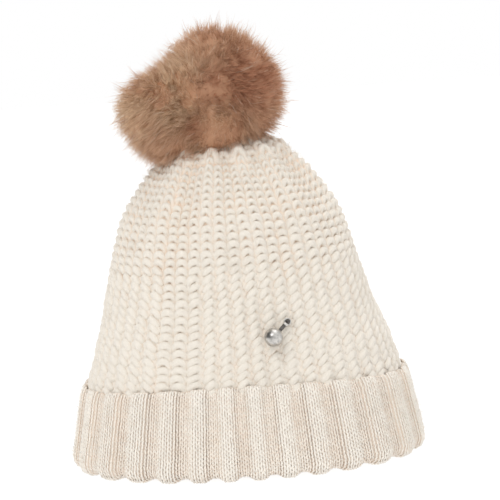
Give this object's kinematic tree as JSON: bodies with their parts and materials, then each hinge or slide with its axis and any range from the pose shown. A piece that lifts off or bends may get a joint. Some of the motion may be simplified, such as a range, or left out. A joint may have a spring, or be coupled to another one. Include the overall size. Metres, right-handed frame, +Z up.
{
  "type": "pom pom beanie",
  "caption": "Chunky knit beanie with a ribbed turn-up cuff, a soft fur pompom on its gathered top and a small metal ball charm on the front.",
  "frame": {"origin": "middle of the flat rim that the hat stands on, under the fold of the cuff", "axes": "+Z up along the hat's height with the opening at the bottom, -Y to the front where the charm is, +X to the right seen from the front"},
  "size_m": [0.207, 0.16, 0.2594],
  "materials": {
    "bulky_knit": "matte",
    "rib_knit": "matte",
    "seam_yarn": "matte",
    "button": "satin",
    "tie_cord": "matte",
    "pelt": "matte",
    "wadding": "matte",
    "fur": "satin",
    "pewter": "satin",
    "dark_metal": "satin",
    "bright_metal": "polished",
    "label_tape": "satin",
    "label_thread": "matte"
  },
  "bodies": {
    "hat": {"crown_body": "bulky_knit", "cuff_inner_band": "rib_knit", "linking_seam": "seam_yarn", "back_seam": "seam_yarn", "gather_yarn": "seam_yarn", "backing_button": "button", "tie_knot": "tie_cord", "charm_post": "dark_metal", "charm_clutch": "bright_metal", "care_label": "label_tape", "label_stitching": "label_thread"},
    "cuff": {"cuff_turn_up": "rib_knit"},
    "pom_neck": {"pom_tie_cord": "tie_cord"},
    "pom_collar": {"pom_gather_thread": "tie_cord"},
    "pompom": {"pom_pelt": "pelt", "pom_filling": "wadding", "pom_core_tie": "tie_cord", "pom_fur": "fur"},
    "charm_swivel": {"charm_ring": "bright_metal"},
    "charm": {"charm_ball": "pewter", "charm_neck": "dark_metal", "charm_collar": "bright_metal"}
  },
  "joints": [
    {"name": "cuff_turn_down", "type": "slide", "parent": "hat", "child": "cuff", "axis": [0, 0, -1], "range_m": [0, 0.044]},
    {"name": "pom_flop_side", "type": "hinge", "parent": "hat", "child": "pom_neck", "pos_m": [-0.003, 0, 0.193], "axis": [0, 1, 0], "range_deg": [-8, 8], "stiffness_Nm_per_rad": 0.3},
    {"name": "pom_nod", "type": "hinge", "parent": "pom_neck", "child": "pom_collar", "pos_m": [-0.003, 0, 0.193], "axis": [1, 0, 0], "range_deg": [-8, 8], "stiffness_Nm_per_rad": 0.3},
    {"name": "pom_twist", "type": "hinge", "parent": "pom_collar", "child": "pompom", "pos_m": [-0.003, 0, 0.193], "axis": [0, 0, 1], "range_deg": [-60, 60], "stiffness_Nm_per_rad": 0.02},
    {"name": "charm_swing", "type": "hinge", "parent": "hat", "child": "charm_swivel", "pos_m": [0.02654, -0.06083, 0.08647], "axis": [0.2095, -0.9612, 0.1795], "range_deg": [-60, 60]},
    {"name": "charm_lift", "type": "hinge", "parent": "charm_swivel", "child": "charm", "pos_m": [0.02654, -0.06083, 0.08647], "axis": [-0.6416, 0.0034, 0.767], "range_deg": [0, 45]}
  ]
}
